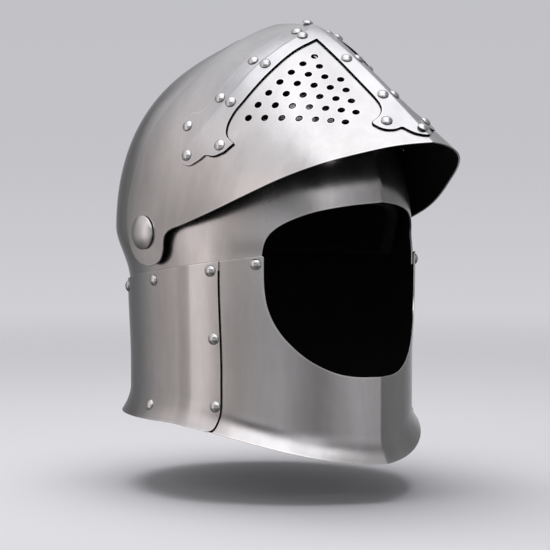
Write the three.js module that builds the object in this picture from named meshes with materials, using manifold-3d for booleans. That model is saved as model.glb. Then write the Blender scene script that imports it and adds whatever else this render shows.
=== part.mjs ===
// Knight helmet with a hinged pierced visor. Units mm, +Z up, front -Y, helmet's right side -X.
// z = 0 is the lowest point of the rim, x = y = 0 is the middle of the neck opening.
import * as THREE from 'three';
import { mergeVertices } from 'three/examples/jsm/utils/BufferGeometryUtils.js';
import Module from 'manifold-3d';

// ---- driving dimensions
const SHEET = 1.5;              // steel thickness
const GAP = 0.3;                // running gap between touching pieces
const PIVOT_Y = 10;             // visor pivot axis, parallel to X
const PIVOT_Z = 163.5;
// lower plates: half width, front reach, rear reach, keel sharpness 0..1
const NECK = { w: 104.5, front: 124, rear: 109, keel: 0.5 };
const NECK_SWELL = 0.02;        // the neck widens towards the skull
const RIM_RISE = 27.5;          // the rim is this much higher at the sides than at the front
const FLARE_OUT = 7;            // flared hem of the rim
const FLARE_HIGH = 20;
const SEAM_Z = 136.6;           // lower edge of the skull where the plates start, at y = 0
const SEAM_SLOPE = -0.147;
const SKIRT = 14;               // the skull reaches this far down inside the plates
const PLATE_FRONT_Y = -55.3;    // front edge of the rear plate
const FRONT_END_Y = -42;        // hidden rear edge of the front plate
// skull dome about an axis just behind the pivot
const DOME = { y: 22, w: 107.6, r: 148.5, high: 147.5, rear: 101, keel: 0.45, rearKeel: 0.1, topKeel: 1.1 };
// visor about the pivot
const VISOR = { w: 112, keel: 0.33, tipY: -177, tipZ: 226, apexY: -46.7, apexZ: 315, rear: 152.5, rearTurn: 100 };
const VISOR_BULGE = 4.2;        // the ridge bows out this much between tip and apex
const VISOR_NARROW = 4;         // the brow of the visor is this much slimmer than its arms
const CREASE_TURN = [69.5, 65.6, 64.3, 63.3, 61.3, 60];
const STRAP_THICK = 1.3;
const RIVET_HEAD_R = 4.1;
const RIVET_HEAD_H = 2.3;
const RIVET_SHANK_R = 1.5;
const PIVOT_HEAD_R = 12.4;
const PIVOT_HEAD_H = 5.2;
const PIVOT_SHANK_R = 4.5;
const BREATH_R = 2.3;
const LINER_THICK = 10;
const LINER_GAP = 8.5;

const wasm = await Module();
wasm.setup();

const STEEL = { color: '#9c9a98', roughness: 0.35, metalness: 1 };
const STEEL_DARK = { color: '#8b8988', roughness: 0.4, metalness: 1 };
const RIVET_STEEL = { color: '#aba9a6', roughness: 0.3, metalness: 1 };
const LINER_CLOTH = { color: '#0c0c0d', roughness: 0.95, metalness: 0 };

const rad = (deg) => deg * Math.PI / 180;
const mix = (a, b, t) => a + (b - a) * t;
const smooth = (t) => {
  const c = Math.min(1, Math.max(0, t));
  return c * c * (3 - 2 * c);
};

// ---- closed meshes and booleans
function toManifold(points, triangles) {
  const geometry = new THREE.BufferGeometry();
  geometry.setAttribute('position', new THREE.Float32BufferAttribute(points.flatMap((p) => [p.x, p.y, p.z]), 3));
  geometry.setIndex(triangles.flat());
  return fromGeometry(geometry);
}

function fromGeometry(geometry) {
  geometry.deleteAttribute('normal');
  geometry.deleteAttribute('uv');
  const merged = mergeVertices(geometry, 1e-4);
  const keep = [];
  const index = merged.index.array;
  for (let i = 0; i < index.length; i += 3) {
    const [a, b, c] = [index[i], index[i + 1], index[i + 2]];
    if (a !== b && b !== c && a !== c) keep.push(a, b, c);
  }
  return new wasm.Manifold(new wasm.Mesh({
    numProp: 3,
    vertProperties: new Float32Array(merged.attributes.position.array),
    triVerts: new Uint32Array(keep),
  }));
}

function toMesh(name, solid, look) {
  const out = solid.getMesh();
  const geometry = new THREE.BufferGeometry();
  geometry.setAttribute('position', new THREE.Float32BufferAttribute(out.vertProperties, 3));
  geometry.setIndex(new THREE.Uint32BufferAttribute(out.triVerts, 1));
  geometry.computeVertexNormals();
  const mesh = new THREE.Mesh(geometry, new THREE.MeshStandardMaterial(look));
  mesh.name = name;
  return mesh;
}

// rings of equal length, each closed round, joined into one closed body with end caps
function ringBody(rings) {
  const n = rings[0].length;
  const points = rings.flat();
  const triangles = [];
  for (let i = 0; i + 1 < rings.length; i += 1) {
    for (let j = 0; j < n; j += 1) {
      const a = i * n + j;
      const b = i * n + (j + 1) % n;
      triangles.push([a, b, b + n], [a, b + n, a + n]);
    }
  }
  for (const [ring, flip] of [[0, true], [rings.length - 1, false]]) {
    const centre = new THREE.Vector3();
    rings[ring].forEach((p) => centre.add(p));
    points.push(centre.divideScalar(n));
    for (let j = 0; j < n; j += 1) {
      const a = ring * n + j;
      const b = ring * n + (j + 1) % n;
      triangles.push(flip ? [b, a, points.length - 1] : [a, b, points.length - 1]);
    }
  }
  return toManifold(points, triangles);
}

// side outline [[y, z], ...] carried across X from x0 to x1
function sidePrism(outline, x0 = -200, x1 = 200) {
  const shape = new THREE.Shape(outline.map(([y, z]) => new THREE.Vector2(y, z)));
  const geometry = new THREE.ExtrudeGeometry(shape, { depth: x1 - x0, bevelEnabled: false, steps: 1 });
  geometry.applyMatrix4(new THREE.Matrix4().set(0, 0, 1, x0, 1, 0, 0, 0, 0, 1, 0, 0, 0, 0, 0, 1));
  return fromGeometry(geometry);
}

function smoothOutline(points, count) {
  const curve = new THREE.CatmullRomCurve3(points.map(([a, b]) => new THREE.Vector3(a, b, 0)), false, 'centripetal');
  return curve.getPoints(count).map((p) => [p.x, p.y]);
}

// ---- keeled plan section: reach from its centre at plan angle phi (0 = front)
function sectionReach(phi, w, front, rear, keel, level = 1) {
  const s = Math.abs(Math.sin(phi));
  const c = Math.cos(phi);
  const reach = c >= 0 ? front : rear;
  const a = (c / reach) ** 2 + (1 - keel) * (s / w) ** 2;
  const b = keel * s / w;
  return 2 * level / (b + Math.sqrt(b * b + 4 * a * level));
}

// ---- lower plates
const seamZ = (y) => SEAM_Z + SEAM_SLOPE * y;
const rimZ = (phi) => RIM_RISE * smooth(Math.abs(phi) / rad(85));

function neckReach(phi, z, offset) {
  const swell = 1 + NECK_SWELL * smooth((z - 63) / 70);
  const keel = Math.abs(phi) < Math.PI / 2 ? NECK.keel : 0;
  const low = Math.max(0, 1 - (z - rimZ(phi)) / FLARE_HIGH);
  return sectionReach(phi, NECK.w * swell + offset, NECK.front * swell + offset, NECK.rear * swell + offset, keel)
    + FLARE_OUT * low * low;
}

function neckPoint(phi, z, offset) {
  const r = neckReach(phi, z, offset);
  return new THREE.Vector3(r * Math.sin(phi), -r * Math.cos(phi), z);
}

const NECK_ANGLES = [0, 9, 18, 27, 36, 45, 54, 63, 72, 81, 90, 102, 114, 126, 140, 155, 167.5];

function bothSides(angles) {
  const right = angles.slice(1).map((a) => -a).reverse();
  return [...right, ...angles, 180].map(rad);
}

// solid from below the rim to above the seam, filled, at an offset that may change along y
function neckSolid(offsetAt, below, above) {
  const steps = [0, 0.035, 0.075, 0.12, 0.18, 0.36, 0.56, 0.78, 1];
  const rings = steps.map((t) => bothSides(NECK_ANGLES).map((phi) => {
    const base = neckPoint(phi, 60, 0);
    const z = mix(rimZ(phi) - (t === 0 ? below : 0), seamZ(base.y) + above, t);
    return neckPoint(phi, z, offsetAt(base.y));
  }));
  return ringBody(rings);
}

function neckShell(offsetAt) {
  const outer = neckSolid(offsetAt, 0, 0);
  const inner = neckSolid((y) => offsetAt(y) - SHEET, 4, 4);
  return outer.subtract(inner);
}

// ---- skull: neck section under the plates, dome about the pivot above them
function domePoint(phi, lift, offset) {
  const t = lift / (Math.PI / 2);
  const base = mix(DOME.rearKeel, DOME.keel, (1 + Math.cos(phi)) / 2);
  const keel = mix(base, DOME.topKeel, t * t);
  const level = Math.max(0, 1 - Math.sin(lift) ** (2.1 - 0.12 * Math.cos(phi)));
  const r = sectionReach(phi, DOME.w + offset, DOME.r + offset, DOME.rear + offset, keel, level);
  const z = PIVOT_Z + (DOME.high + offset) * Math.sin(lift);
  return new THREE.Vector3(r * Math.sin(phi), DOME.y - r * Math.cos(phi), z);
}

function skirtPoint(phi, t, offset) {
  const low = neckPoint(phi, 100, offset - SHEET - GAP);
  const bottom = seamZ(low.y) - SKIRT;
  const z = mix(bottom, PIVOT_Z, t);
  const neck = neckPoint(phi, z, offset - SHEET - GAP);
  const dome = domePoint(phi, 0, offset);
  const seam = seamZ(neck.y);
  const k = smooth((z - seam + 1) / (PIVOT_Z + 4 - seam));
  return new THREE.Vector3(mix(neck.x, dome.x, k), mix(neck.y, dome.y, k), z);
}

function skullSolid(offset, below) {
  const lows = [0, 0.3, 0.5, 0.68, 0.84];
  const lifts = [0, 9, 18, 27, 36, 45, 54, 63, 71, 78, 84].map(rad);
  const angles = bothSides(NECK_ANGLES);
  const rings = lows.map((t) => angles.map((phi) => skirtPoint(phi, t, offset)));
  if (below) rings.unshift(rings[0].map((p) => new THREE.Vector3(p.x, p.y, p.z - below)));
  lifts.forEach((lift) => rings.push(angles.map((phi) => domePoint(phi, lift, offset))));
  const body = ringBody(rings);
  return body;
}

// ---- face opening, seen from the front, right half from the bottom to the top
const OPENING = [[0, 61.5], [20, 62.3], [33, 65.5], [48, 74], [60, 86.5], [67, 98], [71.5, 111], [73.4, 124],
  [73.8, 138], [73.4, 150], [70.5, 160.5], [66.2, 167], [59.5, 172.3], [48.5, 177.6], [38, 180.6], [21, 183.6], [0, 185.6]];

function openingPrism() {
  const right = smoothOutline(OPENING, 30);
  const left = right.slice(1, -1).reverse().map(([x, z]) => [-x, z]);
  const shape = new THREE.Shape([...right, ...left].map(([x, z]) => new THREE.Vector2(x, z)));
  const geometry = new THREE.ExtrudeGeometry(shape, { depth: 190, bevelEnabled: false, steps: 1 });
  geometry.rotateX(Math.PI / 2);
  geometry.translate(0, -10, 0);
  return fromGeometry(geometry);
}

// ---- visor surface about the pivot: across = 0 at the ridge, 1 at the pivot; turn in degrees
const VISOR_TIP = [PIVOT_Y - VISOR.tipY, VISOR.tipZ - PIVOT_Z];
const VISOR_APEX = [PIVOT_Y - VISOR.apexY, VISOR.apexZ - PIVOT_Z];
const degrees = ([forward, up]) => Math.atan2(up, forward) * 180 / Math.PI;
const TIP_TURN = degrees(VISOR_TIP);
const APEX_TURN = degrees(VISOR_APEX);

function ridgeReach(turn) {
  if (turn > APEX_TURN) {
    const t = Math.min(1, (turn - APEX_TURN) / (VISOR.rearTurn - APEX_TURN));
    return mix(VISOR.rear, Math.hypot(...VISOR_APEX), (1 - t) ** 1.6);
  }
  const [dx, dz] = [VISOR_APEX[0] - VISOR_TIP[0], VISOR_APEX[1] - VISOR_TIP[1]];
  const [c, s] = [Math.cos(rad(turn)), Math.sin(rad(turn))];
  const straight = (VISOR_TIP[0] * dz - VISOR_TIP[1] * dx) / (c * dz - s * dx);
  const t = Math.max(0, (APEX_TURN - turn) / (APEX_TURN - TIP_TURN));
  return straight + (t < 1 ? VISOR_BULGE * Math.sin(Math.PI * t ** 0.8) ** 0.8 : 0);
}

// the crease leaves the apex and runs down each side, a little ahead of the apex's own turn
function creaseTurn(across) {
  const at = Math.min(4.999, across * 6);
  const i = Math.floor(at);
  return mix(CREASE_TURN[i], CREASE_TURN[i + 1], at - i);
}

// turn on the ridge whose reach applies at this turn and distance across
function ridgeTurn(turn, across) {
  const crease = creaseTurn(across);
  if (turn <= TIP_TURN || turn >= VISOR.rearTurn) return turn;
  if (turn <= crease) return mix(TIP_TURN, APEX_TURN, (turn - TIP_TURN) / (crease - TIP_TURN));
  return mix(APEX_TURN, VISOR.rearTurn, (turn - crease) / (VISOR.rearTurn - crease));
}

function visorReach(turn, across) {
  if (turn < 0 || turn > 180) return VISOR.rear;
  return Math.min(230, ridgeReach(ridgeTurn(turn, across)));
}

// share of the reach left at this distance across: keeled at the ridge, squarer at the brim
function archShare(across, turn) {
  const power = 2 + 0.6 * (1 - smooth((turn - 18) / 27));
  return Math.sqrt(Math.max(0, 1 - (1 - VISOR.keel) * across ** power - VISOR.keel * across));
}

function visorPoint(across, turn, side, offset) {
  const u = Math.min(1, Math.max(0, across));
  const rho = (visorReach(turn, u) + offset) * archShare(u, turn);
  const narrow = VISOR_NARROW * (1 - smooth((turn - 50) / 30)) * smooth((rho - 70) / 60);
  const x = (VISOR.w + offset - narrow) * u;
  return new THREE.Vector3(side * x, PIVOT_Y - rho * Math.cos(rad(turn)), PIVOT_Z + rho * Math.sin(rad(turn)));
}

const VISOR_ACROSS = [0.1, 0.21, 0.32, 0.43, 0.54, 0.64, 0.73, 0.81, 0.88, 0.93, 0.968, 0.993];
const VISOR_TURNS = [6, 14, 22, 30, 38, 46, 54, 61, 'crease', 74, 82, 91, 102, 120, 150, 195, 240, 285, 320];

function visorSolid(offset) {
  const rings = [];
  const ring = (across, side) => VISOR_TURNS.map((turn) => {
    const crease = creaseTurn(across);
    if (turn === 'crease') return visorPoint(across, crease, side, offset);
    const k = turn < APEX_TURN ? (crease - 6) / (APEX_TURN - 6) : 1;
    return visorPoint(across, turn < APEX_TURN ? 6 + (turn - 6) * k : turn, side, offset);
  });
  VISOR_ACROSS.slice().reverse().forEach((u) => rings.push(ring(u, 1)));
  rings.push(ring(0, 1));
  VISOR_ACROSS.forEach((u) => rings.push(ring(u, -1)));
  return ringBody(rings);
}

// side outline of the visor: lower edge from the tip to the arm, arm end, rear edge to the top
const VISOR_EDGE = [[-186, 228.6], [-176, 227.4], [-166.4, 225.2], [-153, 219.7], [-133.5, 212.3], [-109.4, 202], [-85.4, 190.2],
  [-63, 180.2], [-35, 170.3], [-20, 165.8], [-14.5, 162], [-12.3, 156], [-11, 149.5], [-7.5, 143.8], [-1, 140.3], [7, 139.2],
  [15, 140.6], [22, 144.8], [27, 151.5], [30.5, 162], [32.5, 175], [33, 187], [31.6, 197], [30.3, 212], [28.5, 223], [24, 237.5],
  [12.8, 261.5], [3, 281], [-2, 298], [-6, 322]];

function visorPrism() {
  return sidePrism([...smoothOutline(VISOR_EDGE, 44), [-6.5, 340], [-190, 340]]);
}

// rows of breaths on each side, as distance from the ridge plane and height
function breathPlaces() {
  const places = [];
  [1, 2, 4, 5, 6, 7, 7].forEach((count, row) => {
    for (let i = 0; i < count; i += 1) {
      const x = 22.1 + 10.25 * row - 0.27 * row * row - (7.3 - 0.045 * row * row) * i;
      const z = 290.1 - 5.2 * row - 0.38 * row * row - (2.3 - 0.39 * row) * i - 0.11 * i * i;
      places.push([x, z]);
    }
  });
  return places;
}

// point of the visor surface that shows at side position (y, z)
function visorAt(y, z, side, offset) {
  const turn = degrees([PIVOT_Y - y, z - PIVOT_Z]);
  const rho = Math.hypot(z - PIVOT_Z, PIVOT_Y - y);
  let [low, high] = [0, 1];
  for (let i = 0; i < 40; i += 1) {
    const u = (low + high) / 2;
    if ((visorReach(turn, u) + offset) * archShare(u, turn) > rho) low = u;
    else high = u;
  }
  return visorPoint(low, turn, side, offset);
}

// the same from distance to the ridge plane x and height z, in front of the crease
function visorFront(x, z, side, offset) {
  let [low, high] = [0, 75];
  let p;
  for (let i = 0; i < 40; i += 1) {
    const turn = (low + high) / 2;
    let u = x / VISOR.w;
    for (let k = 0; k < 6; k += 1) {
      p = visorPoint(u, turn, side, offset);
      u *= x / Math.max(0.01, Math.abs(p.x));
    }
    if (p.z < z) low = turn;
    else high = turn;
  }
  return p;
}

function frameAt(pointAt, y, z) {
  const p = pointAt(y, z);
  const n = new THREE.Vector3().crossVectors(
    pointAt(y + 0.5, z).sub(pointAt(y - 0.5, z)),
    pointAt(y, z + 0.5).sub(pointAt(y, z - 0.5)),
  ).normalize();
  if (n.dot(new THREE.Vector3(p.x, 0.2 * p.y, 0.3 * (p.z - 150))) < 0) n.negate();
  return { point: p, normal: n };
}

const visorFrame = (y, z, side, offset) => frameAt((a, b) => visorAt(a, b, side, offset), y, z);
const frontFrame = (x, z, side, offset) => frameAt((a, b) => visorFront(a, b, side, offset), x, z);

function peg(frame, radius, from, to, sides) {
  const geometry = new THREE.CylinderGeometry(radius, radius, to - from, sides);
  geometry.translate(0, (from + to) / 2, 0);
  return place(geometry, frame);
}

function place(geometry, { point, normal }) {
  const turn = new THREE.Quaternion().setFromUnitVectors(new THREE.Vector3(0, 1, 0), normal);
  geometry.applyQuaternion(turn);
  geometry.translate(point.x, point.y, point.z);
  return fromGeometry(geometry);
}

// domed head with a shank of the given length below it
function rivetSolid(frame, lift, length, headR = RIVET_HEAD_R, headH = RIVET_HEAD_H, shankR = RIVET_SHANK_R, sides = 8) {
  const profile = [[0.001, -length], [shankR, -length], [shankR, 0], [headR, 0], [headR * 0.9, headH * 0.5],
    [headR * 0.55, headH * 0.88], [0.001, headH]];
  const points = [];
  const triangles = [];
  profile.forEach(([r, y]) => {
    if (r < 0.01) points.push(new THREE.Vector3(0, y + lift, 0));
    else for (let i = 0; i < sides; i += 1) {
      const a = 2 * Math.PI * i / sides;
      points.push(new THREE.Vector3(r * Math.cos(a), y + lift, r * Math.sin(a)));
    }
  });
  const last = points.length - 1;
  const rings = profile.length - 2;
  for (let i = 0; i < sides; i += 1) {
    const j = (i + 1) % sides;
    triangles.push([0, 1 + i, 1 + j]);
    for (let k = 0; k + 1 < rings; k += 1) {
      const a = 1 + k * sides;
      triangles.push([a + i, a + sides + i, a + sides + j], [a + i, a + sides + j, a + j]);
    }
    const top = 1 + (rings - 1) * sides;
    triangles.push([top + i, last, top + j]);
  }
  const turn = new THREE.Quaternion().setFromUnitVectors(new THREE.Vector3(0, 1, 0), frame.normal);
  points.forEach((p) => p.applyQuaternion(turn).add(frame.point));
  return toManifold(points, triangles);
}

// ---- strap: three arms folded over the ridge and the side creases
const ARM_EDGE = [[-65.8, 301.4], [-64.3, 295], [-62.5, 283.7], [-59.6, 271.2], [-56.2, 258.2], [-53.5, 249.7], [-52.9, 240.4],
  [-55.5, 233.2], [-63.5, 227.4]];
const ARM_FOOT = [[-58.4, 221.1], [-51.5, 218.3], [-43.7, 219.2]];
const ARM_HEEL = [[-39.8, 215.6], [-31.9, 211.8], [-25, 213.8], [-20.6, 221], [-17.4, 230.5], [-15, 240.5], [-15.8, 247.5], [-20, 250.2],
  [-26.5, 251], [-30, 256], [-32.5, 265], [-35.5, 277], [-37.5, 289], [-39.5, 301], [-40.5, 310], [-40, 320]];

function armPrism() {
  return sidePrism([...smoothOutline(ARM_EDGE, 14), ...smoothOutline(ARM_FOOT, 4), ...smoothOutline(ARM_HEEL, 22),
    [-56, 330], [-66, 318]]);
}

// outline of the middle arm: half width against distance along the ridge from the tip
const SPINE_FOOT = [[9, 1], [11.5, 5.2], [15.2, 8.7], [19.9, 11.2], [23.2, 12.8], [23.1, 17], [24.2, 21], [26.8, 24.6], [31, 27],
  [36.8, 27.9], [39.7, 21.6], [42.9, 17.3], [47.4, 14.2], [52.7, 12.5]];
const SPINE_EDGE = [[60, 11.9], [80, 11.8], [100, 11.6], [125, 11.3], [150, 11]];

function spinePrism() {
  const right = [...smoothOutline(SPINE_FOOT, 36), ...smoothOutline(SPINE_EDGE, 8)];
  const left = right.slice().reverse().map(([s, x]) => [s, -x]);
  const shape = new THREE.Shape([...right, ...left].map(([s, x]) => new THREE.Vector2(x, s)));
  const geometry = new THREE.ExtrudeGeometry(shape, { depth: 90, bevelEnabled: false, steps: 1 });
  const along = new THREE.Vector3(0, VISOR.apexY - VISOR.tipY, VISOR.apexZ - VISOR.tipZ).normalize();
  const across = new THREE.Vector3(1, 0, 0);
  const up = new THREE.Vector3().crossVectors(across, along);
  geometry.applyMatrix4(new THREE.Matrix4().makeBasis(across, along, up));
  geometry.translate(0, VISOR.tipY, VISOR.tipZ);
  geometry.translate(-up.x * 60, -up.y * 60, -up.z * 60);
  return fromGeometry(geometry);
}

// side positions of the rivets of each arm, and of the middle arm
const ARM_RIVETS = [[-48.2, 308.5], [-43.4, 286.4], [-37.2, 259.4], [-56.4, 305.2], [-54.2, 283.9], [-47, 256.3], [-19.9, 239.5],
  [-27.9, 218.6], [-52.5, 225.4]];
const SPINE_RIVETS = [[5.3, 287.5], [5, 260.5], [18.2, 241.3]];

// frame on the ridge at the given turn, with its normal at the given lean
function ridgeFrame(turn, lean) {
  const reach = ridgeReach(turn);
  const [forward, up] = [reach * Math.cos(rad(turn)), reach * Math.sin(rad(turn))];
  return {
    point: new THREE.Vector3(0, PIVOT_Y - forward, PIVOT_Z + up),
    normal: new THREE.Vector3(0, -Math.cos(rad(lean)), Math.sin(rad(lean))),
  };
}

function strapRivets() {
  const list = [];
  for (const [side, tag] of [[-1, 'right'], [1, 'left']]) {
    ARM_RIVETS.forEach(([y, z], i) => {
      list.push({ name: `strap_rivet_${tag}_${i + 1}`, frame: visorFrame(y, z, side, 0) });
    });
    SPINE_RIVETS.forEach(([x, z], i) => {
      list.push({ name: `spine_rivet_${tag}_${i + 1}`, frame: frontFrame(x, z, side, 0) });
    });
  }
  list.push({ name: 'apex_rivet', frame: ridgeFrame(APEX_TURN + 1.5, APEX_TURN + 5) });
  list.push({ name: 'tip_rivet', frame: ridgeFrame(22.8, 56) });
  return list;
}

// ---- rivets of the lower plates: plan angle and height, and the layer they sit on
const PLATE_RIVETS = [[62.9, 137.2, 1.8], [61.9, 88.9, 1.8], [61.4, 40.7, 1.8], [92.6, 129, 0], [96, 37.5, 0], [123.5, 121.8, 0],
  [45.3, 142.3, 0]];

function plateRivets() {
  const list = [];
  for (const [side, tag] of [[-1, 'right'], [1, 'left']]) {
    PLATE_RIVETS.forEach(([phi, z, offset], i) => {
      const at = (a, h) => neckPoint(rad(a) * side, h, offset);
      const point = at(phi, z);
      const normal = new THREE.Vector3().crossVectors(at(phi + 1, z).sub(at(phi - 1, z)), at(phi, z + 1).sub(at(phi, z - 1)));
      normal.normalize();
      if (normal.dot(new THREE.Vector3(point.x, point.y, 0)) < 0) normal.negate();
      list.push({ name: `plate_rivet_${tag}_${i + 1}`, frame: { point, normal } });
    });
  }
  return list;
}

// ---- pivots
function pivotFrame(side, offset) {
  return { point: new THREE.Vector3(side * (VISOR.w + offset), PIVOT_Y, PIVOT_Z), normal: new THREE.Vector3(side, 0, 0) };
}

function pivotBolt(side) {
  return rivetSolid(pivotFrame(side, 0), 0.5, 13.5, PIVOT_HEAD_R, PIVOT_HEAD_H, PIVOT_SHANK_R, 20);
}

function pivotNut(side) {
  const frame = pivotFrame(side, 0);
  const nut = peg(frame, 9, -11.4, -7.4, 6);
  return nut.subtract(peg(frame, PIVOT_SHANK_R + 0.05 + GAP, -14, 0, 16));
}

// ---- padded liner hung inside the skull
function linerSolid(inset, cut) {
  const lifts = [0, 14, 28, 42, 56, 68, 78, 85].map(rad);
  const angles = bothSides(NECK_ANGLES.filter((_, i) => i % 2 === 0));
  const rings = lifts.map((lift) => angles.map((phi) => domePoint(phi, lift, -SHEET - LINER_GAP - inset)));
  const drop = (d) => rings[0].map((p) => new THREE.Vector3(p.x * 0.985, p.y * 0.985, p.z - d));
  rings.unshift(drop(16 + cut));
  return ringBody(rings);
}

function buildAll() {
  const group = new THREE.Group();
  group.name = 'knight_helmet';
  const opening = openingPrism();
  const strap = strapRivets();
  const plate = plateRivets();
  const drill = (solid, list, sides) => list.reduce(
    (body, { frame }) => body.subtract(peg(frame, RIVET_SHANK_R + GAP, -9, 6, sides)), solid);

  let skull = skullSolid(0, 0).subtract(skullSolid(-SHEET, 3)).subtract(opening);
  let front = neckShell(() => 0).intersect(sidePrism([[-300, -60], [FRONT_END_Y, -60], [FRONT_END_Y, 260], [-300, 260]]));
  front = front.subtract(opening);
  const joggle = (y) => (SHEET + GAP) * (1 - smooth((y + 33) / 14));
  const corner = [[PLATE_FRONT_Y + 3, -20], [PLATE_FRONT_Y + 2, 20], [PLATE_FRONT_Y + 0.4, 27],
    [PLATE_FRONT_Y, 34], [PLATE_FRONT_Y, 260], [300, 260], [300, -20]];
  let rear = neckShell(joggle).intersect(sidePrism(corner));
  skull = drill(skull, plate.filter((r) => !/_(2|3|5)$/.test(r.name)), 6);
  front = drill(front, plate.filter((r) => /_(1|2|3|7)$/.test(r.name)), 6);
  rear = drill(rear, plate.filter((r) => !/_7$/.test(r.name)), 6);
  let visor = visorSolid(0).subtract(visorSolid(-SHEET)).intersect(visorPrism());
  const arms = armPrism().add(spinePrism());
  let strapBody = visorSolid(GAP + STRAP_THICK).subtract(visorSolid(GAP)).intersect(arms);
  for (const side of [-1, 1]) {
    for (const [x, z] of breathPlaces()) {
      visor = visor.subtract(peg(frontFrame(x, z, side, 0), BREATH_R, -5, 4, 6));
    }
    const bore = peg(pivotFrame(side, 0), PIVOT_SHANK_R + GAP, -14, 6, 16);
    visor = visor.subtract(bore);
    skull = skull.subtract(bore);
  }
  visor = drill(visor, strap, 6);
  strapBody = drill(strapBody, strap, 6);

  const add = (name, solid, look) => group.add(toMesh(name, solid, look));
  add('skull', skull, STEEL);
  add('front_plate', front, STEEL);
  add('rear_plate', rear, STEEL);
  add('visor', visor, STEEL);
  add('visor_strap', strapBody, STEEL_DARK);
  add('liner', linerSolid(0, 0).subtract(linerSolid(LINER_THICK, 4)).subtract(opening), LINER_CLOTH);
  for (const [side, tag] of [[-1, 'right'], [1, 'left']]) {
    add(`pivot_bolt_${tag}`, pivotBolt(side), RIVET_STEEL);
    add(`pivot_nut_${tag}`, pivotNut(side), STEEL_DARK);
  }
  strap.forEach(({ name, frame }) => add(name, rivetSolid(frame, GAP + STRAP_THICK + 0.45, 3.5), RIVET_STEEL));
  plate.forEach(({ name, frame }) => add(name, rivetSolid(frame, 0.35, 3), RIVET_STEEL));
  return group;
}

export default buildAll();
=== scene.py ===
# Knight helmet with a hinged pierced visor: looks. Helper sizes are in millimetres, Blender's are in metres.
import math

import bpy
import numpy as np
from mathutils import Matrix, Vector


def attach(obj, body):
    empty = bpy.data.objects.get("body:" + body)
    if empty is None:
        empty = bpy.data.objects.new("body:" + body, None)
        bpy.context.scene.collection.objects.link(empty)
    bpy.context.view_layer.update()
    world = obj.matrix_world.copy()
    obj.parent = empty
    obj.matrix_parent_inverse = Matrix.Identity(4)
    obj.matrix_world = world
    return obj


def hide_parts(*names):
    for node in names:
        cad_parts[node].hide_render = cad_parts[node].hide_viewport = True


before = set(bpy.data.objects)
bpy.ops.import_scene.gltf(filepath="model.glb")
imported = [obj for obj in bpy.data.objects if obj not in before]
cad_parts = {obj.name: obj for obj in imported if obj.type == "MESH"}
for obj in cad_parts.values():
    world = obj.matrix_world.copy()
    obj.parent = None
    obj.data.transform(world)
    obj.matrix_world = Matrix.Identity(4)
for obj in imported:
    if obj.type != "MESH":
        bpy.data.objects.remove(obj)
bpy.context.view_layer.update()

MM = 0.001

# ---- dimensions of the steel, the same as the CAD solids'
SHEET = 1.5
GAP = 0.3
PIVOT_Y, PIVOT_Z = 10.0, 163.5
NECK_W, NECK_FRONT, NECK_REAR, NECK_KEEL, NECK_SWELL = 104.5, 124.0, 109.0, 0.5, 0.02
RIM_RISE, FLARE_OUT, FLARE_HIGH = 27.5, 7.0, 20.0
SEAM_Z, SEAM_SLOPE, SKIRT = 136.6, -0.147, 14.0
PLATE_FRONT_Y, FRONT_END_Y = -55.3, -42.0
DOME_Y, DOME_W, DOME_R, DOME_HIGH, DOME_REAR = 22.0, 107.6, 148.5, 147.5, 101.0
DOME_KEEL, DOME_REAR_KEEL, DOME_TOP_KEEL = 0.45, 0.1, 1.1
VISOR_W, VISOR_KEEL, VISOR_REAR, VISOR_REAR_TURN = 112.0, 0.33, 152.5, 100.0
TIP = (187.0, 62.5)             # ridge tip ahead of and above the pivot
APEX = (56.7, 151.5)
VISOR_BULGE, VISOR_NARROW = 4.2, 4.0
CREASE_TURN = [69.5, 65.6, 64.3, 63.3, 61.3, 60.0, 59.5]
STRAP_THICK = 1.3
RIVET_R, RIVET_H, SHANK_R = 4.1, 2.3, 1.5
PIVOT_R, PIVOT_H, PIVOT_SHANK_R = 12.4, 5.2, 4.5
BREATH_R = 2.3
LINER_THICK, LINER_GAP = 10.0, 8.5


def smooth(t):
    c = np.clip(t, 0.0, 1.0)
    return c * c * (3 - 2 * c)


def mix(a, b, t):
    return a + (b - a) * t


def spline(points, count):
    """Centripetal Catmull-Rom curve through points, resampled evenly by parameter."""
    p = np.array(points, float)
    first = 2 * p[0] - p[1]
    last = 2 * p[-1] - p[-2]
    p = np.vstack([first, p, last])
    out = []
    spans = len(p) - 3
    for k in range(count + 1):
        at = k / count * spans
        i = min(int(at), spans - 1)
        w = at - i
        p0, p1, p2, p3 = p[i:i + 4]
        d1, d2, d3 = [max(1e-6, np.linalg.norm(q) ** 0.5) for q in (p1 - p0, p2 - p1, p3 - p2)]
        t1 = ((p1 - p0) / d1 - (p2 - p0) / (d1 + d2) + (p2 - p1) / d2) * d2
        t2 = ((p2 - p1) / d2 - (p3 - p1) / (d2 + d3) + (p3 - p2) / d3) * d2
        c2 = -3 * p1 + 3 * p2 - 2 * t1 - t2
        c3 = 2 * p1 - 2 * p2 + t1 + t2
        out.append(p1 + t1 * w + c2 * w * w + c3 * w ** 3)
    return np.array(out)


def outline_distance(x, y, outline):
    """Distance in mm from each point to a closed outline, positive inside it."""
    best = np.full(x.shape, 1e9)
    inside = np.zeros(x.shape, bool)
    for (x1, y1), (x2, y2) in zip(outline, np.roll(outline, -1, axis=0)):
        dx, dy = x2 - x1, y2 - y1
        size = dx * dx + dy * dy
        if size < 1e-12:
            continue
        t = np.clip(((x - x1) * dx + (y - y1) * dy) / size, 0, 1)
        best = np.minimum(best, np.hypot(x - x1 - t * dx, y - y1 - t * dy))
        if y1 != y2:
            cross = ((y1 > y) != (y2 > y)) & (x < (x2 - x1) * (y - y1) / (y2 - y1) + x1)
            inside ^= cross
    return np.where(inside, best, -best)


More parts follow.
